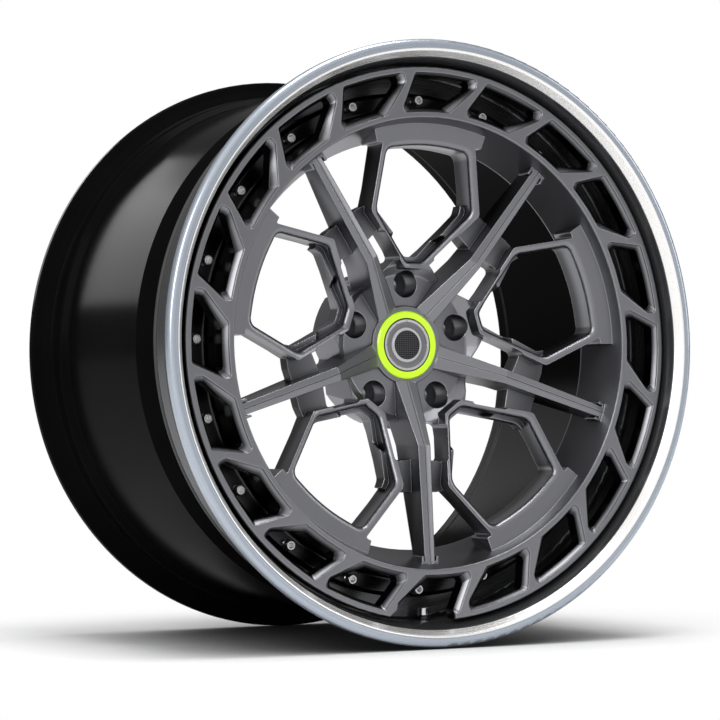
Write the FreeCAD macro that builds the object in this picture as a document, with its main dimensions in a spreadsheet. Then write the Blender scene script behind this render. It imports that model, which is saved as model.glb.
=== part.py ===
# Three-piece forged road wheel: one forged centre, a polished outer lip and a black
# inner barrel, bolted together by twenty bolts that show through twenty windows.
# Frame: the wheel's axis is Y, the face looks to -Y and +Z is up.  The origin is the
# centre of the hub mounting face.  Depths are measured back from the lip's front edge.

import math
import os

import FreeCAD
import Part
import Sketcher

Vector = FreeCAD.Vector
Rotation = FreeCAD.Rotation
Placement = FreeCAD.Placement

# Sizes of the wheel in millimetres, kept in one sheet
wheelSizes = [
    ("hubDepth", 115.0),
    ("lipRadius", 271.5),
    ("lipInnerEdge", 256.6),
    ("lipBevelDepth", 8.0),
    ("dishRadius", 250.0),
    ("beadSeatRadius", 254.0),
    ("humpRadius", 255.6),
    ("lipJointDepth", 67.0),
    ("lipFlangeDepth", 5.0),
    ("barrelFlangeDepth", 5.0),
    ("pilotRadius", 213.9),
    ("pilotPlay", 0.15),
    ("wellRadius", 235.5),
    ("drumRadius", 249.0),
    ("drumStart", 120.0),
    ("drumEnd", 276.0),
    ("barrelWall", 4.5),
    ("backFlangeRadius", 272.7),
    ("wheelWidth", 320.0),
    ("ringInner", 203.0),
    ("ringOuter", 249.0),
    ("ringDepth", 16.3),
    ("ringPlate", 17.7),
    ("channelRadius", 212.0),
    ("flangeFront", 57.0),
    ("flangeRadius", 230.0),
    ("collarFoot", 187.0),
    ("collarFootDepth", 63.0),
    ("collarBack", 78.0),
    ("windowOuter", 244.1),
    ("windowInner", 208.0),
    ("openingOuter", 240.6),
    ("openingInner", 212.6),
    ("windowStep", 1.2),
    ("windowBevel", 4.5),
    ("boltCircle", 222.6),
    ("boltHole", 3.15),
    ("boltShank", 3.0),
    ("boltHeadRadius", 5.1),
    ("boltHeadTall", 8.2),
    ("nutTall", 5.5),
    ("nutRadius", 5.6),
    ("webDepth", 50.0),
    ("padDepth", 74.0),
    ("frameBase", 80.0),
    ("frameTop", 27.6),
    ("frameBack", 59.0),
    ("frameReach", 181.5),
    ("frameRounding", 5.5),
    ("hubPad", 75.0),
    ("frameWall", 7.2),
    ("spokeRoot", 33.5),
    ("spokeKink", 92.3),
    ("spokeTip", 199.6),
    ("spokeRootDepth", 69.9),
    ("spokeKinkDepth", 38.3),
    ("spokeTipDepth", 28.3),
    ("spokeRootHalf", 11.0),
    ("spokeKinkHalf", 6.4),
    ("spokeTipHalf", 5.0),
    ("footHalf", 8.5),
    ("hubBore", 33.3),
    ("boreLength", 20.0),
    ("capBore", 28.6),
    ("capRecess", 31.5),
    ("capRadius", 31.2),
    ("badgeRadius", 24.8),
    ("lugCircle", 56.0),
    ("lugHole", 7.5),
    ("lugPocket", 12.4),
    ("valveDepth", 56.0),
    ("valveAngle", 2.0),
    ("valveHole", 4.2),
    ("spokeCount", 5.0),
    ("boltCount", 20.0),
    ("badgeNotches", 12.0),
    ("capClips", 8.0),
]


class Size:
    # A number together with the sheet formula that gives it

    def __init__(self, value, formula):
        self.value = value
        self.formula = formula

    def __add__(self, other):
        term = asSize(other)
        return Size(self.value + term.value, "(%s + %s)" % (self.formula, term.formula))

    def __radd__(self, other):
        return asSize(other) + self

    def __sub__(self, other):
        term = asSize(other)
        return Size(self.value - term.value, "(%s - %s)" % (self.formula, term.formula))

    def __rsub__(self, other):
        return asSize(other) - self

    def __mul__(self, factor):
        return Size(self.value * factor, "(%s * (%.7f))" % (self.formula, factor))

    def __rmul__(self, factor):
        return self * factor

    def __neg__(self):
        return self * -1.0


def asSize(item):
    if isinstance(item, Size):
        return item
    return Size(float(item), "(%.7f)" % float(item))


doc = FreeCAD.newDocument("forged_wheel")
sheet = doc.addObject("Spreadsheet::Sheet", "Sizes")


class Named:
    pass


s = Named()
for row, (name, value) in enumerate(wheelSizes, start=1):
    sheet.set("A%d" % row, name)
    sheet.set("B%d" % row, "%g" % value)
    sheet.setAlias("B%d" % row, name)
    setattr(s, name, Size(value, "Sizes.%s" % name))
doc.recompute()


def bind(feature, prop, item):
    # Sets a property from a size, through the sheet where the size comes from it
    size = asSize(item)
    if "Sizes." in size.formula:
        feature.setExpression(prop, size.formula)
        return
    setattr(feature, prop, size.value)


def along(depth):
    # Y of a depth behind the lip's front edge
    return asSize(depth) - s.hubDepth


def polar(radius, degrees):
    angle = math.radians(degrees)
    return asSize(radius) * math.cos(angle), asSize(radius) * math.sin(angle)


def newBody(name, severalSolids=False):
    body = doc.addObject("PartDesign::Body", name)
    body.Label = name
    if severalSolids:
        body.AllowCompound = True
    return body


def originPart(body, role):
    for feature in body.Origin.OriginFeatures:
        if feature.Role == role:
            return feature
    raise ValueError(role)


def newSketch(body, name, role, offset=0.0, turn=None):
    # Sketch on one of the body's own planes, moved along that plane's normal
    sketch = body.newObject("Sketcher::SketchObject", name)
    sketch.AttachmentSupport = [(originPart(body, role), "")]
    sketch.MapMode = "FlatFace"
    size = asSize(offset)
    spin = Rotation()
    if turn is not None:
        spin = turn
    sketch.AttachmentOffset = Placement(Vector(0, 0, size.value), spin)
    if "Sizes." in size.formula:
        sketch.setExpression("AttachmentOffset.Base.z", size.formula)
    return sketch


def faceSketch(body, name, depth):
    # Sketch seen from the front, at a depth; X is to the right and Z is up
    return newSketch(body, name, "XZ_Plane", -along(depth))


def outline(sketch, corners):
    # Closed outline through the corners (x, y, rounding), fixed corner by corner
    points = []
    for corner in corners:
        points.append((asSize(corner[0]), asSize(corner[1]), float(corner[2])))
    count = len(points)
    plain = [Vector(p[0].value, p[1].value, 0) for p in points]
    arrive = []
    leave = []
    arcs = []
    for i in range(count):
        here = plain[i]
        radius = points[i][2]
        back = (plain[i - 1] - here).normalize()
        ahead = (plain[(i + 1) % count] - here).normalize()
        if radius <= 0:
            arrive.append(here)
            leave.append(here)
            arcs.append(None)
            continue
        half = 0.5 * math.acos(max(-1.0, min(1.0, back.dot(ahead))))
        reach = radius / math.tan(half)
        arrive.append(here + back * reach)
        leave.append(here + ahead * reach)
        middle = (back + ahead).normalize()
        centre = here + middle * (radius / math.sin(half))
        leftTurn = (back * -1.0).cross(ahead).z > 0
        arcs.append((centre, radius, leftTurn))
    base = sketch.GeometryCount
    shapes = []
    for i in range(count):
        shapes.append(Part.LineSegment(leave[i], arrive[(i + 1) % count]))
    lineOf = [base + i for i in range(count)]
    arcOf = [None] * count
    cornerOf = [None] * count
    construction = []
    nextId = base + count
    for i in range(count):
        if arcs[i] is None:
            continue
        centre, radius, leftTurn = arcs[i]
        first = arrive[i] if leftTurn else leave[i]
        last = leave[i] if leftTurn else arrive[i]
        start = math.atan2(first.y - centre.y, first.x - centre.x)
        stop = math.atan2(last.y - centre.y, last.x - centre.x)
        circle = Part.Circle(centre, Vector(0, 0, 1), radius)
        shapes.append(Part.ArcOfCircle(circle, start, stop))
        arcOf[i] = nextId
        nextId = nextId + 1
    for i in range(count):
        if arcs[i] is None:
            continue
        shapes.append(Part.Point(plain[i]))
        cornerOf[i] = nextId
        construction.append(nextId)
        nextId = nextId + 1
    sketch.addGeometry(shapes, False)
    for item in construction:
        sketch.setConstruction(item, True)
    rules = []
    formulas = []
    first = sketch.ConstraintCount
    for i in range(count):
        before = lineOf[i - 1]
        after = lineOf[i]
        if arcs[i] is None:
            rules.append(Sketcher.Constraint("Coincident", before, 2, after, 1))
            fixed = (after, 1)
        else:
            leftTurn = arcs[i][2]
            enter = 1 if leftTurn else 2
            depart = 2 if leftTurn else 1
            rules.append(Sketcher.Constraint("Tangent", before, 2, arcOf[i], enter))
            rules.append(Sketcher.Constraint("Tangent", arcOf[i], depart, after, 1))
            rules.append(Sketcher.Constraint("Radius", arcOf[i], points[i][2]))
            rules.append(Sketcher.Constraint("PointOnObject", cornerOf[i], 1, before))
            rules.append(Sketcher.Constraint("PointOnObject", cornerOf[i], 1, after))
            fixed = (cornerOf[i], 1)
        for size, kind, axis in ((points[i][0], "DistanceX", -2), (points[i][1], "DistanceY", -1)):
            if abs(size.value) < 1e-9:
                rules.append(Sketcher.Constraint("PointOnObject", fixed[0], fixed[1], axis))
                continue
            if "Sizes." in size.formula:
                formulas.append((first + len(rules), size.formula))
            rules.append(Sketcher.Constraint(kind, -1, 1, fixed[0], fixed[1], size.value))
    sketch.addConstraint(rules)
    for index, formula in formulas:
        sketch.setExpression("Constraints[%d]" % index, formula)


def circle(sketch, x, y, radius):
    # Circle fixed by its centre and radius
    x = asSize(x)
    y = asSize(y)
    radius = asSize(radius)
    item = sketch.addGeometry(Part.Circle(Vector(x.value, y.value, 0), Vector(0, 0, 1), radius.value), False)
    for size, kind, axis in ((x, "DistanceX", -2), (y, "DistanceY", -1)):
        if abs(size.value) < 1e-9:
            sketch.addConstraint(Sketcher.Constraint("PointOnObject", item, 3, axis))
            continue
        index = sketch.addConstraint(Sketcher.Constraint(kind, -1, 1, item, 3, size.value))
        if "Sizes." in size.formula:
            sketch.setExpression("Constraints[%d]" % index, size.formula)
    index = sketch.addConstraint(Sketcher.Constraint("Radius", item, radius.value))
    if "Sizes." in radius.formula:
        sketch.setExpression("Constraints[%d]" % index, radius.formula)


def turned(body, name, profile, kind="PartDesign::Revolution"):
    # Turns a profile of (radius, depth, rounding) once about the wheel's axis
    sketch = newSketch(body, name + "Profile", "XY_Plane")
    outline(sketch, [(radius, along(depth), rounding) for radius, depth, rounding in profile])
    feature = body.newObject(kind, name)
    feature.Profile = sketch
    feature.ReferenceAxis = (sketch, ["V_Axis"])
    feature.Angle = 360.0
    feature.Refine = False
    return feature


def pad(body, name, sketch, length):
    feature = body.newObject("PartDesign::Pad", name)
    feature.Profile = sketch
    feature.Refine = False
    bind(feature, "Length", length)
    return feature


def pocket(body, name, sketch, length):
    feature = body.newObject("PartDesign::Pocket", name)
    feature.Profile = sketch
    feature.Refine = False
    bind(feature, "Length", length)
    return feature


def loft(body, name, sketches, kind):
    feature = body.newObject(kind, name)
    feature.Profile = sketches[0]
    feature.Sections = sketches[1:]
    feature.Ruled = True
    feature.Refine = False
    return feature


def around(body, name, features, count):
    # Repeats features evenly about the wheel's axis, or with none named the body so far
    feature = body.newObject("PartDesign::PolarPattern", name)
    if features:
        feature.Originals = features
    else:
        feature.TransformMode = "Whole shape"
    feature.Axis = (originPart(body, "Y_Axis"), [""])
    feature.Angle = 360.0
    bind(feature, "Occurrences", count)
    feature.Refine = False
    body.Tip = feature
    return feature


def boltHoles(body, depth):
    # Twenty clearance holes for the assembly bolts
    sketch = faceSketch(body, "boltHoleSketch", depth)
    circle(sketch, 0, s.boltCircle, s.boltHole)
    hole = pocket(body, "boltHole", sketch, 14.0)
    around(body, "boltHoles", [hole], s.boltCount)


# The forged centre: hub, five spokes, five hexagon frames, collar and window ring
centre = newBody("forged_centre", True)

# Hexagon frame with ears on the collar's side, its face dished and its inner edge rounded
frame = faceSketch(centre, "frameSketch", s.frameBase)
outline(frame, [
    (11.0, 69.5, 3.0),
    (57.0, 118.1, 6.0),
    (48.6, 179.6, 1.5),
    (54.6, 178.6, 0.8),
    (58.6, 191.6, 0),
    (0, 203.0, 0),
    (-58.6, 191.6, 0),
    (-54.6, 178.6, 0.8),
    (-48.6, 179.6, 1.5),
    (-57.0, 118.1, 6.0),
    (-11.0, 69.5, 3.0),
])
outline(frame, [
    (8.2, 76.0, 6.0),
    (57.0 - s.frameWall, 120.3, 10.0),
    (49.4 - s.frameWall, s.frameReach - 6.7, 8.0),
    (0, s.frameReach, 178.0),
    (s.frameWall - 49.4, s.frameReach - 6.7, 8.0),
    (s.frameWall - 57.0, 120.3, 10.0),
    (-8.2, 76.0, 6.0),
])
framePad = pad(centre, "framePad", frame, s.frameBase - s.frameTop)
frameFace = turned(centre, "frameFace", [
    (58.0, 10.0, 0),
    (210.0, 10.0, 0),
    (210.0, 26.65, 0),
    (131.0, 35.7, 40.0),
    (69.0, 55.5, 0),
    (58.0, 59.0, 0),
], "PartDesign::Groove")
doc.recompute()


def rimEdges(feature, sketch):
    # Names of the feature's edges that stand over the sketch's inner outline, on its face
    wire = min(sketch.Shape.Wires, key=lambda item: item.Length)
    level = sketch.Placement.Base.y
    names = []
    for number, edge in enumerate(feature.Shape.Edges, start=1):
        span = edge.LastParameter - edge.FirstParameter
        ends = [edge.valueAt(edge.FirstParameter + part * span) for part in (0.1, 0.5, 0.9)]
        upright = math.hypot(ends[0].x - ends[2].x, ends[0].z - ends[2].z) < 0.01
        under = Part.Vertex(Vector(ends[1].x, level, ends[1].z))
        if upright or ends[1].y > level - 0.5 or under.distToShape(wire)[0] > 0.02:
            continue
        names.append("Edge%d" % number)
    return names


frameRounding = centre.newObject("PartDesign::Fillet", "frameRounding")
frameRounding.Base = (frameFace, rimEdges(frameFace, frame))
bind(frameRounding, "Radius", s.frameRounding)
frameRounding.Refine = False
doc.recompute()
around(centre, "frames", [], s.spokeCount)
doc.recompute()

turned(centre, "hubWeb", [
    (s.capRecess, 71.2, 0),
    (35.5, 71.2, 0.8),
    (36.5, s.padDepth, 0),
    (65.0, s.padDepth, 3.0),
    (74.0, 66.0, 3.0),
    (98.0, 64.0, 4.0),
    (104.0, s.webDepth + 2.0, 3.0),
    (136.0, s.webDepth, 0),
    (136.0, 86.0, 0),
    (100.0, 97.0, 12.0),
    (85.0, 109.0, 6.0),
    (80.0, s.hubDepth, 1.5),
    (s.hubBore + 1.5, s.hubDepth, 0),
    (s.hubBore, s.hubDepth - 1.5, 0),
    (s.hubBore, s.hubDepth - s.boreLength, 0),
    (s.capBore + 2.4, s.hubDepth - s.boreLength, 0),
    (s.capBore + 2.4, 91.0, 0),
    (s.capBore, 91.0, 0),
    (s.capBore, 75.5, 0),
    (s.capRecess, 75.5, 0),
])

# Openings of one fifth of the disc: a hexagon, two gaps beside the spoke and two slots
openings = faceSketch(centre, "openingsSketch", 20.0)
outline(openings, [
    (6.2, 80.5, 5.0),
    (43.8, 120.6, 9.0),
    (45.0, 128.0, 0),
    (40.0, 150.0, 0),
    (-40.0, 150.0, 0),
    (-45.0, 128.0, 0),
    (-43.8, 120.6, 9.0),
    (-6.2, 80.5, 5.0),
])
for side in (1.0, -1.0):
    outline(openings, [
        (56.2 * side, 126.6, 4.0),
        (75.6 * side, 110.8, 6.0),
        (94.0 * side, 135.5, 0),
        (52.9 * side, 151.0, 0),
    ])
    outline(openings, [
        (35.9 * side, 57.9, 4.5),
        (57.8 * side, 87.2, 5.0),
        (40.5 * side, 103.5, 5.0),
        (16.4 * side, 78.1, 4.0),
    ])
openingCut = pocket(centre, "openingCut", openings, 120.0)
around(centre, "openingCuts", [openingCut], s.spokeCount)

# Lug holes: a pocket for the bolt head, a conical seat and the bolt hole
lugSketch = newSketch(centre, "lugSketch", "YZ_Plane")
axisLine = Part.LineSegment(Vector(-60, 56.0, 0), Vector(20, 56.0, 0))
lugSketch.addGeometry(axisLine, True)
lugRules = [Sketcher.Constraint("Horizontal", 0)]
lugRules.append(Sketcher.Constraint("DistanceX", -1, 1, 0, 1, -60.0))
lugRules.append(Sketcher.Constraint("DistanceX", -1, 1, 0, 2, 20.0))
lugRules.append(Sketcher.Constraint("DistanceY", -1, 1, 0, 1, s.lugCircle.value))
lugSketch.addConstraint(lugRules)
lugSketch.setExpression("Constraints[3]", s.lugCircle.formula)
lugSide = [
    (along(68.0), s.lugCircle, 0),
    (along(68.0), s.lugCircle + s.lugPocket, 0),
    (along(95.0), s.lugCircle + s.lugPocket, 0),
    (along(103.0), s.lugCircle + s.lugHole, 0),
    (along(117.0), s.lugCircle + s.lugHole, 0),
    (along(117.0), s.lugCircle, 0),
]
outline(lugSketch, lugSide)
lugCut = centre.newObject("PartDesign::Groove", "lugCut")
lugCut.Profile = lugSketch
lugCut.ReferenceAxis = (lugSketch, ["Axis0"])
lugCut.Angle = 360.0
lugCut.Refine = False
around(centre, "lugCuts", [lugCut], s.spokeCount)

# Dished back behind frames and web, round the hub pad
turned(centre, "backDish", [
    (215.0, s.frameBack - 3.0, 0),
    (150.0, s.frameBack + 1.0, 20.0),
    (112.0, s.frameBack + 9.0, 16.0),
    (90.0, s.frameBack + 16.0, 8.0),
    (78.0, s.frameBack + 23.0, 5.0),
    (s.hubPad, s.hubDepth + 5.0, 0),
    (215.0, s.hubDepth + 5.0, 0),
], "PartDesign::Groove")

# Spoke: a roofed blade with a fine groove along its ridge, lofted from hub to collar
spokeSections = []
for tag, reach, ridge, half, base in (
    ("root", s.spokeRoot, s.spokeRootDepth, s.spokeRootHalf, 105.0),
    ("kink", s.spokeKink, s.spokeKinkDepth, s.spokeKinkHalf, 76.0),
    ("tip", s.spokeTip, s.spokeTipDepth, s.spokeTipHalf, 45.0),
):
    section = newSketch(centre, tag + "Section", "XY_Plane", -reach)
    outline(section, [
        (half + 2.5, along(base), 0),
        (half, along(ridge + half * 0.2), 0),
        (0.75, along(ridge), 0),
        (0, along(ridge + 0.9), 0),
        (-0.75, along(ridge), 0),
        (-half, along(ridge + half * 0.2), 0),
        (-half - 2.5, along(base), 0),
    ])
    spokeSections.append(section)
spoke = loft(centre, "spoke", spokeSections, "PartDesign::AdditiveLoft")
foot = faceSketch(centre, "footSketch", 46.0)
footInside = s.spokeTipHalf + 1.4
outline(foot, [
    (-s.footHalf, -201.0, 0),
    (-s.footHalf, -191.6, 0.6),
    (-footInside, -191.6, 0.6),
    (-footInside, -196.4, 0),
    (footInside, -196.4, 0),
    (footInside, -191.6, 0.6),
    (s.footHalf, -191.6, 0.6),
    (s.footHalf, -201.0, 0),
])
spokeFoot = pad(centre, "spokeFoot", foot, 46.0 - s.spokeTipDepth - 0.8)
around(centre, "spokes", [spoke, spokeFoot], s.spokeCount)

# Collar, window ring and bolting flange
turned(centre, "collar", [
    (s.ringInner, s.ringDepth, 1.6),
    (s.ringOuter, s.ringDepth, 1.4),
    (s.ringOuter, 30.0, 0),
    (245.0, s.ringDepth + s.ringPlate, 0),
    (s.channelRadius, s.ringDepth + s.ringPlate, 2.0),
    (s.channelRadius, s.flangeFront, 3.0),
    (s.flangeRadius - 3.5, s.flangeFront, 0),
    (s.flangeRadius, s.flangeFront + 3.5, 0),
    (s.flangeRadius, s.lipJointDepth, 0),
    (s.pilotRadius, s.lipJointDepth, 0),
    (s.pilotRadius, 76.0, 0),
    (212.5, 77.5, 0),
    (206.0, s.collarBack, 2.0),
    (s.collarFoot + 3.0, s.collarFootDepth + 3.0, 1.5),
    (s.collarFoot, s.collarFootDepth, 1.5),
])

boltHoles(centre, s.flangeFront - 1.0)

# Notch through the ring's edge, in front of the valve
notchSketch = faceSketch(centre, "valveNotchSketch", s.ringDepth - 1.0)
notchCorners = []
for radius, turn in ((229.5, -7.6), (253.0, -12.2), (253.0, 4.3), (229.5, 4.7)):
    x, z = polar(radius, 270.0 + turn)
    notchCorners.append((x, z, 0))
outline(notchSketch, notchCorners)
pocket(centre, "valveNotch", notchSketch, 26.0)

# Window of the ring: a shallow step, a bevel and the opening into the bolt channel
windowTop = 90.0
recessCorners = []
for radius, turn, rounding in (
    (s.windowOuter, -10.0, 3.6),
    (s.windowOuter - 9.0, -10.1, 6.0),
    (s.windowInner, -3.6, 3.0),
    (s.windowInner, 2.8, 190.0),
    (s.windowInner, 9.2, 2.6),
    (s.windowInner + 6.0, 9.5, 4.0),
    (s.windowOuter, 5.3, 3.2),
    (s.windowOuter, -2.3, 215.0),
):
    x, z = polar(radius, windowTop + turn)
    recessCorners.append((x, z, rounding))
openingCorners = []
for radius, turn, rounding in (
    (s.openingOuter, -8.8, 3.2),
    (s.openingOuter - 6.2, -8.8, 4.5),
    (s.openingInner, -2.1, 3.4),
    (s.openingInner, 2.55, 190.0),
    (s.openingInner, 7.2, 3.4),
    (s.openingInner + 5.0, 7.8, 4.0),
    (s.openingOuter, 4.6, 3.0),
    (s.openingOuter, -2.1, 210.0),
):
    x, z = polar(radius, windowTop + turn)
    openingCorners.append((x, z, rounding))
windowSections = []
for tag, depth, corners in (
    ("stepTop", s.ringDepth, recessCorners),
    ("stepFloor", s.ringDepth + s.windowStep, recessCorners),
    ("bevelFloor", s.ringDepth + s.windowStep + s.windowBevel, openingCorners),
    ("channel", s.ringDepth + s.ringPlate + 6.0, openingCorners),
):
    section = faceSketch(centre, tag + "Section", depth)
    outline(section, corners)
    windowSections.append(section)
window = loft(centre, "window", windowSections, "PartDesign::SubtractiveLoft")
around(centre, "windows", [window], s.boltCount)

# Polished outer lip: rolled edge, bead seat, hump and the flange bolted to the centre
lip = newBody("outer_lip")
jointBack = s.lipJointDepth + s.lipFlangeDepth
pilotBore = s.pilotRadius + s.pilotPlay
turned(lip, "lipShell", [
    (s.lipInnerEdge, s.lipBevelDepth, 1.6),
    (s.lipInnerEdge + 5.2, 0, 3.6),
    (s.lipRadius, 0, 4.6),
    (s.lipRadius, 9.6, 2.6),
    (262.5, 13.6, 3.0),
    (s.beadSeatRadius + 0.4, 18.5, 5.0),
    (s.beadSeatRadius, 44.0, 4.0),
    (s.humpRadius, 46.0, 2.4),
    (s.humpRadius, 48.0, 2.4),
    (s.beadSeatRadius - 0.4, 50.5, 4.0),
    (s.beadSeatRadius - 0.4, 65.0, 6.0),
    (252.0, jointBack - 2.2, 0),
    (249.8, jointBack, 0),
    (pilotBore, jointBack, 0),
    (pilotBore, s.lipJointDepth, 0),
    (s.dishRadius, s.lipJointDepth, 3.5),
    (s.dishRadius, 26.0, 60.0),
])
boltHoles(lip, s.lipJointDepth - 1.0)
valveTurn = Rotation(Vector(0, -1, 0), s.valveAngle.value)
valveSketch = newSketch(lip, "valveHoleSketch", "XY_Plane", 0.0, valveTurn)
valveSketch.setExpression("AttachmentOffset.Rotation.Angle", s.valveAngle.formula + " * 1 deg")
circle(valveSketch, 0, along(s.valveDepth), s.valveHole)
valveCut = pocket(lip, "valveCut", valveSketch, 270.0)

# Black inner barrel: joint flange, drop centre, drum, rear bead seat and rear flange
barrel = newBody("inner_barrel")
barrelBack = jointBack + s.barrelFlangeDepth
wellInside = s.wellRadius - s.barrelWall
drumInside = s.drumRadius - s.barrelWall
turned(barrel, "barrelShell", [
    (pilotBore, jointBack, 0),
    (249.8, jointBack, 0),
    (252.0, jointBack + 2.2, 0),
    (252.0, jointBack + 4.0, 3.0),
    (s.wellRadius, 88.0, 6.0),
    (s.wellRadius, 98.0, 8.0),
    (s.drumRadius, s.drumStart, 3.0),
    (s.drumRadius, s.drumEnd, 3.0),
    (s.humpRadius, s.drumEnd + 6.0, 2.5),
    (s.humpRadius, s.drumEnd + 8.5, 2.0),
    (s.beadSeatRadius, s.drumEnd + 11.0, 3.0),
    (s.beadSeatRadius + 0.4, 302.0, 4.5),
    (264.0, 307.0, 3.0),
    (s.backFlangeRadius, 310.0, 2.6),
    (s.backFlangeRadius, s.wheelWidth, 4.4),
    (262.5, s.wheelWidth, 3.6),
    (257.5, 312.0, 4.0),
    (249.6, 303.0, 8.0),
    (249.6, s.drumEnd + 12.0, 8.0),
    (drumInside, s.drumEnd + 2.0, 8.0),
    (drumInside, s.drumStart + 2.0, 6.0),
    (wellInside, 100.0, 8.0),
    (wellInside, barrelBack, 1.5),
    (pilotBore, barrelBack, 0),
])
boltHoles(barrel, jointBack - 1.0)

# Sealing bead that fills the groove where lip and barrel meet
seal = newBody("rim_seal")
turned(seal, "sealBead", [
    (249.8, jointBack, 0),
    (252.0, jointBack - 2.2, 0),
    (253.2, jointBack - 1.2, 1.0),
    (253.2, jointBack + 1.2, 1.0),
    (252.0, jointBack + 2.2, 0),
])

# Twenty assembly bolts: flanged socket heads, shanks through all three flanges
bolts = newBody("assembly_bolts", True)
headTop = s.flangeFront - s.boltHeadTall
boltEnd = barrelBack + s.nutTall + 1.6
boltSketch = newSketch(bolts, "boltSketch", "YZ_Plane")
boltSketch.addGeometry(Part.LineSegment(Vector(-80, 222.6, 0), Vector(0, 222.6, 0)), True)
boltRules = [Sketcher.Constraint("Horizontal", 0)]
boltRules.append(Sketcher.Constraint("DistanceX", -1, 1, 0, 1, -80.0))
boltRules.append(Sketcher.Constraint("DistanceX", -1, 1, 0, 2, -1.0))
boltRules.append(Sketcher.Constraint("DistanceY", -1, 1, 0, 1, s.boltCircle.value))
boltSketch.addConstraint(boltRules)
boltSketch.setExpression("Constraints[3]", s.boltCircle.formula)
outline(boltSketch, [
    (along(headTop), s.boltCircle, 0),
    (along(headTop), s.boltCircle + s.boltHeadRadius - 1.3, 0),
    (along(headTop + 0.7), s.boltCircle + s.boltHeadRadius - 0.6, 0),
    (along(s.flangeFront - 1.6), s.boltCircle + s.boltHeadRadius - 0.6, 0),
    (along(s.flangeFront - 1.0), s.boltCircle + s.boltHeadRadius, 0),
    (along(s.flangeFront), s.boltCircle + s.boltHeadRadius, 0),
    (along(s.flangeFront), s.boltCircle + s.boltShank, 0),
    (along(boltEnd - 1.0), s.boltCircle + s.boltShank, 0),
    (along(boltEnd), s.boltCircle + s.boltShank - 0.8, 0),
    (along(boltEnd), s.boltCircle, 0),
])
bolt = bolts.newObject("PartDesign::Revolution", "bolt")
bolt.Profile = boltSketch
bolt.ReferenceAxis = (boltSketch, ["Axis0"])
bolt.Angle = 360.0
socketSketch = faceSketch(bolts, "socketSketch", headTop)
socketCorners = []
for corner in range(6):
    x, z = polar(s.boltHeadRadius - 2.2, 60.0 * corner)
    socketCorners.append((x, z + s.boltCircle, 0))
outline(socketSketch, socketCorners)
socket = pocket(bolts, "socket", socketSketch, 5.0)
around(bolts, "boltSet", [bolt, socket], s.boltCount)

# Twenty nuts behind the barrel flange
nuts = newBody("assembly_nuts", True)
nutSketch = faceSketch(nuts, "nutSketch", barrelBack + s.nutTall)
nutCorners = []
for corner in range(6):
    x, z = polar(s.nutRadius, 60.0 * corner)
    nutCorners.append((x, z + s.boltCircle, 0))
outline(nutSketch, nutCorners)
circle(nutSketch, 0, s.boltCircle, s.boltShank)
nut = pad(nuts, "nut", nutSketch, s.nutTall)
around(nuts, "nutSet", [nut], s.boltCount)

# Centre cap: coloured ring, plain badge, clip body and spring ring
capRing = newBody("cap_ring")
turned(capRing, "ringBody", [
    (s.badgeRadius, 69.9, 0.5),
    (s.capRadius - 1.6, 69.5, 0.8),
    (s.capRadius, 71.0, 0.8),
    (s.capRadius, 73.0, 0),
    (s.badgeRadius, 73.0, 0),
])
badge = newBody("cap_badge")
turned(badge, "badgeDisc", [
    (0, 70.9, 0),
    (13.2, 70.9, 0),
    (13.2, 70.3, 0),
    (14.4, 70.3, 0),
    (14.4, 71.2, 0),
    (20.6, 71.2, 0),
    (20.6, 70.4, 0),
    (23.2, 70.2, 0),
    (s.badgeRadius, 70.7, 0),
    (s.badgeRadius, 73.0, 0),
    (0, 73.0, 0),
])
badgeSlot = faceSketch(badge, "badgeSlotSketch", 69.0)
outline(badgeSlot, [(-0.8, 20.2, 0), (0.8, 20.2, 0), (0.8, 22.6, 0), (-0.8, 22.6, 0)])
badgeCut = pocket(badge, "badgeCut", badgeSlot, 2.2)
around(badge, "badgeCuts", [badgeCut], s.badgeNotches)
capBody = newBody("cap_body")
turned(capBody, "capShell", [
    (0, 73.0, 0),
    (s.capRadius, 73.0, 0),
    (s.capRadius, 75.5, 0),
    (s.capBore - 0.2, 75.5, 0),
    (s.capBore - 0.2, 91.0, 0),
    (s.capBore + 0.7, 91.6, 0),
    (s.capBore - 0.6, 93.6, 0),
    (25.4, 93.6, 0),
    (25.4, 77.5, 0),
    (0, 77.5, 0),
])
clipSketch = faceSketch(capBody, "clipSketch", 80.0)
outline(clipSketch, [(-3.0, 22.0, 0), (3.0, 22.0, 0), (3.0, 32.0, 0), (-3.0, 32.0, 0)])
clipCut = pocket(capBody, "clipCut", clipSketch, 20.0)
around(capBody, "clipCuts", [clipCut], s.capClips)
spring = newBody("cap_spring")
springSketch = newSketch(spring, "springSketch", "XY_Plane")
circle(springSketch, 24.4, along(87.0), 1.0)
springTurn = spring.newObject("PartDesign::Revolution", "springRing")
springTurn.Profile = springSketch
springTurn.ReferenceAxis = (springSketch, ["V_Axis"])
springTurn.Angle = 360.0


def valvePiece(name, profile):
    # Part of the valve, turned about its own axis; profile of (radius, reach, rounding)
    # with reach measured from the wheel's axis
    body = newBody(name)
    sketch = newSketch(body, name + "Profile", "XZ_Plane")
    outline(sketch, [(radius, -asSize(reach), rounding) for radius, reach, rounding in profile])
    feature = body.newObject("PartDesign::Revolution", name + "Turn")
    feature.Profile = sketch
    feature.ReferenceAxis = (sketch, ["V_Axis"])
    feature.Angle = 360.0
    place = Vector(0, along(s.valveDepth).value, 0)
    body.Placement = Placement(place, valveTurn)
    body.setExpression("Placement.Rotation.Angle", s.valveAngle.formula + " * 1 deg")
    body.setExpression("Placement.Base.y", along(s.valveDepth).formula)
    return body


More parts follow.
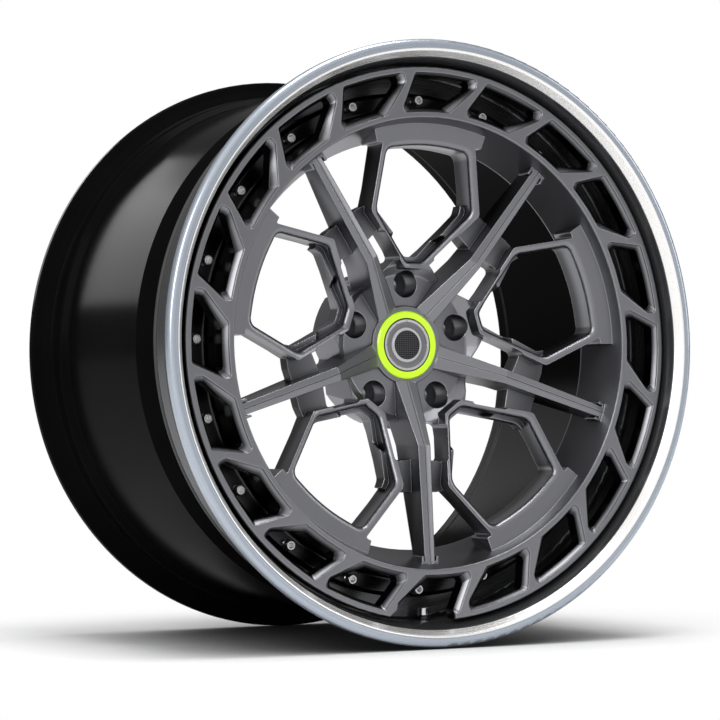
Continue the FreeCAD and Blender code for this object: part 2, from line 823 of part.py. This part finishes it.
dishFace = s.dishRadius - 0.1
seatFace = s.beadSeatRadius - 0.4
valveStem = valvePiece("valve_stem", [
    (0, 241.4, 0),
    (2.6, 241.4, 0),
    (2.6, 246.0, 0),
    (4.0, 246.0, 0),
    (4.0, seatFace + 1.5, 0),
    (7.0, seatFace + 1.5, 0.6),
    (7.0, seatFace + 4.5, 0.8),
    (0, seatFace + 4.5, 0),
])
valveSeal = valvePiece("valve_seal", [
    (4.0, seatFace, 0),
    (7.4, seatFace, 0),
    (7.4, seatFace + 1.5, 0),
    (4.0, seatFace + 1.5, 0),
])
valveNut = valvePiece("valve_nut", [
    (4.0, dishFace, 0),
    (6.6, dishFace, 0),
    (6.6, dishFace - 2.6, 0.5),
    (4.0, dishFace - 2.6, 0),
])
valveCap = valvePiece("valve_cap", [
    (0, 241.4, 0),
    (0, 239.4, 0),
    (4.6, 239.4, 1.0),
    (5.2, 246.4, 0),
    (4.0, 246.4, 0),
    (4.0, 246.0, 0),
    (2.6, 246.0, 0),
    (2.6, 241.4, 0),
])

doc.recompute()

bodies = [
    centre,
    lip,
    barrel,
    seal,
    bolts,
    nuts,
    capRing,
    badge,
    capBody,
    spring,
    valveStem,
    valveSeal,
    valveNut,
    valveCap,
]

for item in doc.Objects:
    if "Invalid" in item.State or "Error" in item.State:
        raise RuntimeError("%s: %s" % (item.Name, item.State))

os.makedirs("parts", exist_ok=True)
for body in bodies:
    shape = body.Shape
    if shape.isNull() or not shape.isValid():
        raise RuntimeError("%s has no valid shape" % body.Label)
    shape.exportStep("parts/%s.step" % body.Label)
    print("%s: %d solids, %.0f mm3" % (body.Label, len(shape.Solids), shape.Volume))
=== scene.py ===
import math
import bpy
from mathutils import Matrix, Vector


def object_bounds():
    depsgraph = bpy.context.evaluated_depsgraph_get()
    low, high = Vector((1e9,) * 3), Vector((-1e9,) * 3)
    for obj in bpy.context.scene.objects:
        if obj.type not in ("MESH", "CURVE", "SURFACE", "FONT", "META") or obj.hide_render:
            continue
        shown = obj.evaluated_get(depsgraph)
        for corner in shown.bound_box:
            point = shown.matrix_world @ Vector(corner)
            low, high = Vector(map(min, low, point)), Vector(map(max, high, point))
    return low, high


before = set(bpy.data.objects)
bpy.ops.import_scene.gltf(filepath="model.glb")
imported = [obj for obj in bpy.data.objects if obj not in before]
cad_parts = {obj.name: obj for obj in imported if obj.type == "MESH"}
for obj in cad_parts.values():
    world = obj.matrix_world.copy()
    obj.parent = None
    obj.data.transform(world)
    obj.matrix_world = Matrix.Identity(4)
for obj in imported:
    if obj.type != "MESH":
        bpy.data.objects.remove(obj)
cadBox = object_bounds()
print("frame loaded:", len(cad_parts), "nodes")

# Camera fitted to the rim's circles in the photograph, angles in radians
viewCamera = {
    "lipRadius": 0.2715,
    "lipDepth": -0.115,
    "place": (-4.0645, -6.6925, -0.3298),  # in lip radii from the lip's centre
    "azimuth": -0.5093,
    "elevation": -0.0346,
    "lens": 119.21,
    "sensor": 36.0,
    "clipEnd": 100.0,
}


def makeCamera(s):
    data = bpy.data.cameras.new("photoCamera")
    data.lens = s["lens"]
    data.sensor_width = s["sensor"]
    data.clip_end = s["clipEnd"]
    cam = bpy.data.objects.new("photoCamera", data)
    bpy.context.scene.collection.objects.link(cam)
    a, e = s["azimuth"], s["elevation"]
    back = Vector((math.sin(a) * math.cos(e), -math.cos(a) * math.cos(e), math.sin(e)))
    right = Vector((math.cos(a), math.sin(a), 0.0))
    up = back.cross(right)
    place = Vector(s["place"]) * s["lipRadius"] + Vector((0.0, s["lipDepth"], 0.0))
    turn = Matrix((right, up, back)).transposed().to_4x4()
    cam.matrix_world = Matrix.Translation(place) @ turn
    bpy.context.scene.camera = cam


makeCamera(viewCamera)
print("camera set")

# Rays per sample for rounded edges and the highlight painted along them, the shade painted in grooves
# and the floor's painted contact shadow
rayCounts = {"edge": 8, "groove": 6, "contact": 8}
unitRange = (0.0, 1.0)


# Material helpers
def newMaterial(name):
    mat = bpy.data.materials.new(name)
    mat.use_nodes = True
    tree = mat.node_tree
    return mat, tree, tree.nodes["Principled BSDF"]


def addNode(tree, kind, **settings):
    item = tree.nodes.new(kind)
    for key, value in settings.items():
        setattr(item, key, value)
    return item


def feed(tree, item, socket):
    # links another socket, or sets a plain value
    if isinstance(item, bpy.types.NodeSocket):
        tree.links.new(item, socket)
    else:
        socket.default_value = item


def objectCoords(tree):
    return addNode(tree, "ShaderNodeTexCoord").outputs["Object"]


def noiseFactor(tree, coords, scale, detail):
    tex = addNode(tree, "ShaderNodeTexNoise")
    tex.inputs["Scale"].default_value = scale
    tex.inputs["Detail"].default_value = detail
    tree.links.new(coords, tex.inputs["Vector"])
    return tex.outputs["Fac"]


def mapRange(tree, value, source, target, curve="LINEAR"):
    # carries the source range to the target range, held at both ends
    node = addNode(tree, "ShaderNodeMapRange", interpolation_type=curve)
    for key, number in zip(("From Min", "From Max", "To Min", "To Max"), (*source, *target)):
        node.inputs[key].default_value = number
    tree.links.new(value, node.inputs["Value"])
    return node.outputs["Result"]


def rise(tree, value, span):
    # zero at the start of the span, one at its end, smooth between them
    return mapRange(tree, value, span, unitRange, "SMOOTHSTEP")


def mixColour(tree, factor, first, second):
    # blends two colours, each given as a plain colour or as a socket
    node = addNode(tree, "ShaderNodeMix", data_type="RGBA")
    targets = [socket for socket in node.inputs if socket.type == "RGBA"]
    for colour, socket in zip((first, second), targets):
        feed(tree, (*colour, 1.0) if isinstance(colour, tuple) else colour, socket)
    tree.links.new(factor, node.inputs["Factor"])
    return [socket for socket in node.outputs if socket.type == "RGBA"][0]


def colourRamp(tree, factor, stops):
    # blends along the stops, each a place from zero to one and its colour
    ramp = addNode(tree, "ShaderNodeValToRGB")
    elements = ramp.color_ramp.elements
    while len(elements) < len(stops):
        elements.new(1.0)
    for element, (place, colour) in zip(elements, stops):
        element.position = place
        element.color = (*colour, 1.0)
    tree.links.new(factor, ramp.inputs["Fac"])
    return ramp.outputs["Color"]


def calc(tree, operation, first, second):
    # one step of arithmetic, on sockets or plain numbers
    node = addNode(tree, "ShaderNodeMath", operation=operation)
    feed(tree, first, node.inputs[0])
    feed(tree, second, node.inputs[1])
    return node.outputs[0]


def invert(tree, value):
    return calc(tree, "SUBTRACT", 1.0, value)


def vectorCalc(tree, operation, *items):
    # one step of arithmetic on vectors, on sockets or plain triples
    node = addNode(tree, "ShaderNodeVectorMath", operation=operation)
    for item, socket in zip(items, node.inputs):
        feed(tree, item, socket)
    return node.outputs


def depthAlong(tree, coords):
    # place along the wheel's axis, from the hub face towards the car
    parts = addNode(tree, "ShaderNodeSeparateXYZ")
    tree.links.new(coords, parts.inputs[0])
    return parts.outputs["Y"]


def axisRadius(tree, coords):
    # distance from the wheel's axis, the length of the point with its Y put to zero
    flat = vectorCalc(tree, "MULTIPLY", coords, (1.0, 0.0, 1.0))["Vector"]
    return vectorCalc(tree, "LENGTH", flat)["Value"]


def ringLines(tree, radius, depth, perMetre, detail):
    # fine turned lines: one-dimensional noise along the radius plus the depth
    tex = addNode(tree, "ShaderNodeTexNoise", noise_dimensions="1D")
    tex.inputs["Scale"].default_value = perMetre
    tex.inputs["Detail"].default_value = detail
    tree.links.new(calc(tree, "ADD", radius, depth), tex.inputs["W"])
    return tex.outputs["Fac"]


def softNormal(tree, radius):
    # the normal of a surface whose edges are rounded to this radius
    soft = addNode(tree, "ShaderNodeBevel", samples=rayCounts["edge"])
    soft.inputs["Radius"].default_value = radius
    return soft.outputs["Normal"]


def edgeMask(tree, width, span):
    # one along the edges, where the softened normal leaves the true one
    true = addNode(tree, "ShaderNodeNewGeometry").outputs["Normal"]
    same = vectorCalc(tree, "DOT_PRODUCT", softNormal(tree, width), true)["Value"]
    return rise(tree, invert(tree, same), span)


def openShare(tree, reach, rays, ownOnly):
    # share of the rays that meet nothing within reach, or nothing of the piece itself
    clear = addNode(tree, "ShaderNodeAmbientOcclusion", samples=rays, only_local=ownOnly)
    clear.inputs["Distance"].default_value = reach
    return clear.outputs["AO"]


def creaseShadeMask(tree, reach, span):
    # one in grooves and inner corners, where the surface stands in its own way; it sets where shade is
    # painted
    return invert(tree, rise(tree, openShare(tree, reach, rayCounts["groove"], True), span))


def addBump(tree, shader, height, strength, distance, edge=0.0):
    bump = addNode(tree, "ShaderNodeBump")
    bump.inputs["Strength"].default_value = strength
    bump.inputs["Distance"].default_value = distance
    tree.links.new(height, bump.inputs["Height"])
    if edge > 0.0:
        tree.links.new(softNormal(tree, edge), bump.inputs["Normal"])
    tree.links.new(bump.outputs["Normal"], shader.inputs["Normal"])


def mixShaders(tree, factor, first, second, output):
    mix = addNode(tree, "ShaderNodeMixShader")
    tree.links.new(factor, mix.inputs["Fac"])
    tree.links.new(first, mix.inputs[1])
    tree.links.new(second, mix.inputs[2])
    tree.links.new(mix.outputs[0], output.inputs["Surface"])


def dress(nodeName, mat):
    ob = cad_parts[nodeName]
    ob.data.materials.clear()
    ob.data.materials.append(mat)


# In the looks below, noises are a scale and a detail, bumps a strength and a distance,
# and radii and depths the start and end of a smooth change, in metres

# Forged centre: satin graphite over blasted alloy, with painted highlights along the edges and painted
# shade on the deep walls, in the grooves and, near black and glossier, in the bolt channel behind the
# windows
centreLook = {
    "dark": (0.186, 0.187, 0.200),
    "light": (0.245, 0.246, 0.262),
    "cloud": (9.0, 4.0),
    # painted highlight: a paler colour laid along the edges
    "edgeHighlight": (0.40, 0.40, 0.42),
    "edgeHighlightWidth": 0.0009,
    "edgeHighlightSpan": (0.02, 0.16),
    # painted shade: grooves and inner corners are darkened towards this colour
    "creaseShade": (0.028, 0.028, 0.030),
    "creaseReach": 0.004,
    "creaseSpan": (0.35, 0.85),
    # painted shade: near black in the bolt channel behind the windows and on the windows' deeper bevels
    "channel": (0.035, 0.035, 0.037),
    "channelRadius": (0.2068, 0.2084),
    "channelDepth": (-0.0966, -0.0936),
    "channelRough": 0.20,
    # painted shade: the deep walls between hub and collar are darkened towards this colour
    "deepShade": (0.030, 0.030, 0.032),
    "deepShare": 0.8,
    "deepFrom": (0.085, 0.110),
    "deepTo": (0.180, 0.187),
    "deepBehind": (0.004, 0.018),
    "frontRadius": (0.069, 0.131),
    "frontDepth": (-0.0595, -0.0793),
    "rough": (0.27, 0.36),
    "metal": 1.0,
    "grain": (2600.0, 2.0),
    "bump": (0.05, 0.0004),
    "edge": 0.0016,
}


def deepWallShade(tree, radius, depth, s):
    # one between hub and collar, well behind the front of the spokes, where shade is painted on the
    # deep walls
    inField = calc(tree, "SUBTRACT", rise(tree, radius, s["deepFrom"]), rise(tree, radius, s["deepTo"]))
    front = mapRange(tree, radius, s["frontRadius"], s["frontDepth"])
    behind = calc(tree, "SUBTRACT", depth, front)
    return calc(tree, "MULTIPLY", inField, rise(tree, behind, s["deepBehind"]))


def satinGraphite(s):
    mat, tree, shader = newMaterial("satinGraphite")
    coords = objectCoords(tree)
    cloud = noiseFactor(tree, coords, *s["cloud"])
    grain = noiseFactor(tree, coords, *s["grain"])
    radius = axisRadius(tree, coords)
    depth = depthAlong(tree, coords)
    # even satin, then painted shade on the deep walls, painted highlights on the edges, painted shade
    # in the grooves and near-black painted shade in the channel
    deepShade = calc(tree, "MULTIPLY", deepWallShade(tree, radius, depth, s), s["deepShare"])
    edgeHighlights = edgeMask(tree, s["edgeHighlightWidth"], s["edgeHighlightSpan"])
    creaseShades = creaseShadeMask(tree, s["creaseReach"], s["creaseSpan"])
    outside = rise(tree, radius, s["channelRadius"])
    channel = calc(tree, "MULTIPLY", outside, rise(tree, depth, s["channelDepth"]))
    colour = mixColour(tree, cloud, s["dark"], s["light"])
    for mask, key in ((deepShade, "deepShade"), (edgeHighlights, "edgeHighlight"), (creaseShades, "creaseShade"), (channel, "channel")):
        colour = mixColour(tree, mask, colour, s[key])
    tree.links.new(colour, shader.inputs["Base Color"])
    rough = mapRange(tree, grain, unitRange, s["rough"])
    drop = calc(tree, "MULTIPLY", channel, s["rough"][0] - s["channelRough"])
    tree.links.new(calc(tree, "SUBTRACT", rough, drop), shader.inputs["Roughness"])
    shader.inputs["Metallic"].default_value = s["metal"]
    addBump(tree, shader, grain, *s["bump"], s["edge"])
    return mat


dress("forged_centre", satinGraphite(centreLook))
print("centre dressed")

# Outer lip: polished alloy with faint turned lines, a painted reflection that tints the rolled edge a
# darker blue-grey, and a dark dish wall
lipLook = {
    "dark": (0.84, 0.83, 0.81),
    "light": (0.93, 0.92, 0.90),
    "rimReflection": (0.40, 0.44, 0.50),
    "rimRadius": (0.2622, 0.2634),
    "wall": (0.075, 0.076, 0.080),
    "wallDepth": (-0.1082, -0.1066),
    "wallRadius": (0.2560, 0.2570),
    "rough": (0.22, 0.30),
    "metal": 0.75,
    "lines": (1400.0, 2.0),
    "bump": (0.008, 0.0001),
}


def polishedAlloy(s):
    mat, tree, shader = newMaterial("polishedAlloy")
    coords = objectCoords(tree)
    radius = axisRadius(tree, coords)
    depth = depthAlong(tree, coords)
    lines = ringLines(tree, radius, depth, *s["lines"])
    turned = mixColour(tree, lines, s["dark"], s["light"])
    # painted reflection: the rolled edge takes a darker blue-grey
    banded = mixColour(tree, rise(tree, radius, s["rimRadius"]), turned, s["rimReflection"])
    # the dish wall lies inside the bevel and behind the lip's face
    within = invert(tree, rise(tree, radius, s["wallRadius"]))
    wall = calc(tree, "MULTIPLY", within, rise(tree, depth, s["wallDepth"]))
    tree.links.new(mixColour(tree, wall, banded, s["wall"]), shader.inputs["Base Color"])
    tree.links.new(mapRange(tree, lines, unitRange, s["rough"]), shader.inputs["Roughness"])
    shader.inputs["Metallic"].default_value = s["metal"]
    addBump(tree, shader, lines, *s["bump"])
    return mat


dress("outer_lip", polishedAlloy(lipLook))
print("lip dressed")

# Inner barrel: deep gloss black
barrelLook = {
    "dark": (0.0018, 0.0018, 0.002),
    "light": (0.004, 0.004, 0.0044),
    "cloud": (14.0, 3.0),
    "rough": (0.15, 0.21),
    "specular": 0.008,
    "peel": (420.0, 1.0),
    "bump": (0.015, 0.0003),
}


def glossBlack(s):
    mat, tree, shader = newMaterial("glossBlack")
    coords = objectCoords(tree)
    cloud = noiseFactor(tree, coords, *s["cloud"])
    peel = noiseFactor(tree, coords, *s["peel"])
    tree.links.new(mixColour(tree, cloud, s["dark"], s["light"]), shader.inputs["Base Color"])
    tree.links.new(mapRange(tree, cloud, unitRange, s["rough"]), shader.inputs["Roughness"])
    shader.inputs["Specular IOR Level"].default_value = s["specular"]
    addBump(tree, shader, peel, *s["bump"])
    return mat


dress("inner_barrel", glossBlack(barrelLook))
print("barrel dressed")

# Cap badge: brushed rings round a dark woven middle, all bands by their radius
badgeLook = {
    "bands": (
        (0.0, (0.02, 0.02, 0.022)),
        (0.0132, (0.02, 0.02, 0.022)),
        (0.0135, (0.62, 0.62, 0.64)),
        (0.0157, (0.62, 0.62, 0.64)),
        (0.0160, (0.20, 0.20, 0.21)),
        (0.0212, (0.26, 0.26, 0.275)),
        (0.0215, (0.60, 0.60, 0.62)),
        (0.0232, (0.60, 0.60, 0.62)),
        (0.0235, (0.06, 0.07, 0.04)),
        (0.0248, (0.06, 0.07, 0.04)),
    ),
    "reach": 0.025,
    "weave": 720.0,
    "weaveTurn": 45.0,
    "weaveShift": 0.3,
    "weaveEdge": (0.0133, 0.0135),
    "thread": (0.085, 0.085, 0.09),
    "brushed": (1400.0, 2.0),
    "rough": (0.24, 0.38),
    "metal": 0.95,
    "bump": (0.25, 0.0001),
    "edge": 0.0004,
}


def wovenBadge(s):
    mat, tree, shader = newMaterial("wovenBadge")
    coords = objectCoords(tree)
    radius = axisRadius(tree, coords)
    stops = [(place / s["reach"], colour) for place, colour in s["bands"]]
    rings = colourRamp(tree, calc(tree, "DIVIDE", radius, s["reach"]), stops)
    # weave: squares on the slant, every other one paler and raised
    slanted = addNode(tree, "ShaderNodeMapping")
    slanted.inputs["Rotation"].default_value = (0.0, math.radians(s["weaveTurn"]), 0.0)
    slanted.inputs["Location"].default_value = (0.0, s["weaveShift"], 0.0)
    tree.links.new(coords, slanted.inputs["Vector"])
    squares = addNode(tree, "ShaderNodeTexChecker")
    squares.inputs["Scale"].default_value = s["weave"]
    tree.links.new(slanted.outputs["Vector"], squares.inputs["Vector"])
    inside = invert(tree, rise(tree, radius, s["weaveEdge"]))
    cloth = calc(tree, "MULTIPLY", squares.outputs["Fac"], inside)
    tree.links.new(mixColour(tree, cloth, rings, s["thread"]), shader.inputs["Base Color"])
    fine = noiseFactor(tree, coords, *s["brushed"])
    tree.links.new(mapRange(tree, fine, unitRange, s["rough"]), shader.inputs["Roughness"])
    shader.inputs["Metallic"].default_value = s["metal"]
    addBump(tree, shader, cloth, *s["bump"], s["edge"])
    return mat


dress("cap_badge", wovenBadge(badgeLook))
print("badge dressed")

# Small pieces: one plain recipe with its own colours, roughness and grain
smallRecipe = {
    "cloudShare": 0.1,
    "cloudDetail": 3.0,
    "grainDetail": 2.0,
    "bump": (0.03, 0.0002),
    "edge": 0.0004,
}
smallLooks = {
    "assembly_bolts": {
        "finish": "platedSteel",
        "dark": (0.56, 0.56, 0.57),
        "light": (0.74, 0.74, 0.75),
        "metal": 1.0,
        "rough": (0.20, 0.32),
        "grain": 900.0,
    },
    "assembly_nuts": {
        "finish": "platedNut",
        "dark": (0.42, 0.42, 0.43),
        "light": (0.56, 0.56, 0.57),
        "metal": 1.0,
        "rough": (0.25, 0.38),
        "grain": 900.0,
    },
    "rim_seal": {
        "finish": "curedSealant",
        "dark": (0.018, 0.018, 0.018),
        "light": (0.035, 0.035, 0.035),
        "metal": 0.0,
        "rough": (0.50, 0.70),
        "grain": 500.0,
    },
    "cap_ring": {
        "finish": "limeGloss",
        "dark": (0.42, 0.76, 0.004),
        "light": (0.58, 0.93, 0.015),
        "metal": 0.0,
        "rough": (0.12, 0.22),
        "grain": 300.0,
        "coat": 0.6,
        # painted light: the lime ring glows faintly in its own colour, though it is no lamp
        "glow": (0.52, 0.90, 0.01),
        "glowStrength": 0.22,
    },
    "cap_body": {
        "finish": "blackMoulding",
        "dark": (0.015, 0.015, 0.016),
        "light": (0.028, 0.028, 0.03),
        "metal": 0.0,
        "rough": (0.45, 0.60),
        "grain": 800.0,
    },
    "cap_spring": {
        "finish": "springWire",
        "dark": (0.50, 0.50, 0.50),
        "light": (0.62, 0.62, 0.62),
        "metal": 1.0,
        "rough": (0.22, 0.35),
        "grain": 900.0,
    },
    "valve_stem": {
        "finish": "blackPlate",
        "dark": (0.05, 0.05, 0.055),
        "light": (0.09, 0.09, 0.095),
        "metal": 1.0,
        "rough": (0.25, 0.40),
        "grain": 900.0,
    },
    "valve_seal": {
        "finish": "valveRubber",
        "dark": (0.012, 0.012, 0.012),
        "light": (0.025, 0.025, 0.025),
        "metal": 0.0,
        "rough": (0.60, 0.80),
        "grain": 700.0,
    },
    "valve_nut": {
        "finish": "blackNut",
        "dark": (0.05, 0.05, 0.055),
        "light": (0.09, 0.09, 0.095),
        "metal": 1.0,
        "rough": (0.25, 0.40),
        "grain": 900.0,
    },
    "valve_cap": {
        "finish": "brightCap",
        "dark": (0.62, 0.62, 0.64),
        "light": (0.78, 0.78, 0.80),
        "metal": 1.0,
        "rough": (0.12, 0.22),
        "grain": 900.0,
    },
}


def smallFinish(s, recipe):
    mat, tree, shader = newMaterial(s["finish"])
    coords = objectCoords(tree)
    cloud = noiseFactor(tree, coords, s["grain"] * recipe["cloudShare"], recipe["cloudDetail"])
    fine = noiseFactor(tree, coords, s["grain"], recipe["grainDetail"])
    tree.links.new(mixColour(tree, cloud, s["dark"], s["light"]), shader.inputs["Base Color"])
    tree.links.new(mapRange(tree, fine, unitRange, s["rough"]), shader.inputs["Roughness"])
    shader.inputs["Metallic"].default_value = s["metal"]
    if "coat" in s:
        shader.inputs["Coat Weight"].default_value = s["coat"]
    # painted light: a faint glow for a part that is no lamp
    if "glow" in s:
        shader.inputs["Emission Color"].default_value = (*s["glow"], 1.0)
        shader.inputs["Emission Strength"].default_value = s["glowStrength"]
    addBump(tree, shader, fine, *recipe["bump"], recipe["edge"])
    return mat


for nodeName, smallLook in smallLooks.items():
    dress(nodeName, smallFinish(smallLook, smallRecipe))
print("small pieces dressed")

# Floor: pale and shaded near the wheel, where it keeps the shadow and a painted contact shadow, and
# white further out
floorLook = {
    "size": 60.0,
    "gap": 0.0002,
    "colour": (0.90, 0.90, 0.905),
    "speck": (0.87, 0.87, 0.875),
    "speckNoise": (40.0, 4.0),
    "rough": 0.6,
    "specular": 0.1,
    "middle": (-0.05, 0.045),
    "nearHalf": (0.34, 0.26),
    "fade": (0.9, 1.9),  # in half sizes of the shaded patch
    "contactReach": 0.15,
    "contact": (0.10, 0.85),
    # painted shadow: the colour of the floor close around the wheel's foot
    "contactShadowColour": (0.06, 0.06, 0.062),
    "glossShare": 0.5,
}


def whiteRays(tree, glossShare):
    # camera and transmission rays see the white studio, mirror rays a share of it
    path = addNode(tree, "ShaderNodeLightPath")
    straight = calc(tree, "MAXIMUM", path.outputs["Is Camera Ray"], path.outputs["Is Transmission Ray"])
    mirrored = calc(tree, "MULTIPLY", path.outputs["Is Glossy Ray"], glossShare)
    return calc(tree, "MAXIMUM", straight, mirrored)


def paleFloor(s, level):
    mat, tree, shader = newMaterial("paleFloor")
    coords = objectCoords(tree)
    speck = noiseFactor(tree, coords, *s["speckNoise"])
    plain = mixColour(tree, speck, s["speck"], s["colour"])
    # painted shadow: the colour darkens where little open space surrounds the floor, under and beside
    # the wheel
    clear = openShare(tree, s["contactReach"], rayCounts["contact"], False)
    shaded = mixColour(tree, rise(tree, clear, s["contact"]), s["contactShadowColour"], plain)
    tree.links.new(shaded, shader.inputs["Base Color"])
    shader.inputs["Roughness"].default_value = s["rough"]
    shader.inputs["Specular IOR Level"].default_value = s["specular"]
    # distance from the wheel's foot, in half sizes of the shaded patch
    fitted = addNode(tree, "ShaderNodeMapping", vector_type="TEXTURE")
    fitted.inputs["Location"].default_value = (*s["middle"], level)
    fitted.inputs["Scale"].default_value = (*s["nearHalf"], 1.0)
    tree.links.new(coords, fitted.inputs["Vector"])
    away = vectorCalc(tree, "LENGTH", fitted.outputs["Vector"])["Value"]
    white = addNode(tree, "ShaderNodeEmission").outputs["Emission"]
    whiteShare = calc(tree, "MULTIPLY", rise(tree, away, s["fade"]), whiteRays(tree, s["glossShare"]))
    mixShaders(tree, whiteShare, shader.outputs["BSDF"], white, tree.nodes["Material Output"])
    return mat


def makeFloor(s):
    half = s["size"] / 2.0
    level = cadBox[0][2] - s["gap"]
    corners = [(-half, -half, level), (half, -half, level), (half, half, level), (-half, half, level)]
    mesh = bpy.data.meshes.new("floor")
    mesh.from_pydata(corners, [], [(0, 1, 2, 3)])
    floor = bpy.data.objects.new("floor", mesh)
    bpy.context.scene.collection.objects.link(floor)
    mesh.materials.append(paleFloor(s, level))


makeFloor(floorLook)

# Soft boxes, sizes in metres and power in watts; the back one lights only the piece that it names
softBoxes = {
    "topBox": {
        "place": (0.05, -0.2, 2.4),
        "target": (0.0, 0.0, 0.0),
        "size": (1.3, 1.3),
        "power": 46.0,
    },
    "backBox": {
        "place": (-0.60, 2.4, 0.85),
        "target": (-0.2, 0.08, 0.1),
        "size": (1.5, 0.8),
        "power": 28.0,
        "lightsOnly": "inner_barrel",
    },
    "leftBox": {
        "place": (-2.3, -1.3, 1.0),
        "target": (0.0, 0.0, 0.0),
        "size": (1.0, 1.6),
        "power": 26.0,
    },
    "rightBox": {
        "place": (2.4, -1.6, 0.9),
        "target": (0.0, 0.0, 0.0),
        "size": (0.8, 1.8),
        "power": 12.0,
    },
}


def makeBox(name, s):
    data = bpy.data.lights.new(name, "AREA")
    data.shape = "RECTANGLE"
    data.size, data.size_y = s["size"]
    data.energy = s["power"]
    lamp = bpy.data.objects.new(name, data)
    bpy.context.scene.collection.objects.link(lamp)
    lamp.location = s["place"]
    aim = Vector(s["target"]) - Vector(s["place"])
    lamp.rotation_euler = aim.to_track_quat("-Z", "Y").to_euler()
    lamp.visible_camera = False
    if "lightsOnly" in s:
        lit = bpy.data.collections.new(name + "Lit")
        lit.objects.link(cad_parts[s["lightsOnly"]])
        lamp.light_linking.receiver_collection = lit


for boxName, boxSettings in softBoxes.items():
    makeBox(boxName, boxSettings)

# Studio dome: brightest up on the left in front, darkest low on the right behind
domeLook = {
    "bright": (-0.50, -0.55, 0.67),
    "steps": ((0.10, 0.03), (0.42, 0.12), (0.68, 0.55), (0.92, 1.0)),
    "glossShare": 0.15,
}


def makeWorld(s):
    # white to the camera, a soft gradient for the light and the reflections
    world = bpy.data.worlds.new("studio")
    bpy.context.scene.world = world
    world.use_nodes = True
    tree = world.node_tree
    tree.nodes.clear()
    out = addNode(tree, "ShaderNodeOutputWorld")
    coords = addNode(tree, "ShaderNodeTexCoord").outputs["Generated"]
    towards = vectorCalc(tree, "DOT_PRODUCT", coords, s["bright"])["Value"]
    lift = mapRange(tree, towards, (-1.0, 1.0), unitRange)
    greys = [(place, (level, level, level)) for place, level in s["steps"]]
    dome = addNode(tree, "ShaderNodeBackground")
    tree.links.new(colourRamp(tree, lift, greys), dome.inputs["Color"])
    white = addNode(tree, "ShaderNodeBackground")
    white.inputs["Color"].default_value = (1.0, 1.0, 1.0, 1.0)
    mixShaders(tree, whiteRays(tree, s["glossShare"]), dome.outputs[0], white.outputs[0], out)


makeWorld(domeLook)
bpy.context.scene.view_settings.view_transform = "Standard"
print("stage and light set")
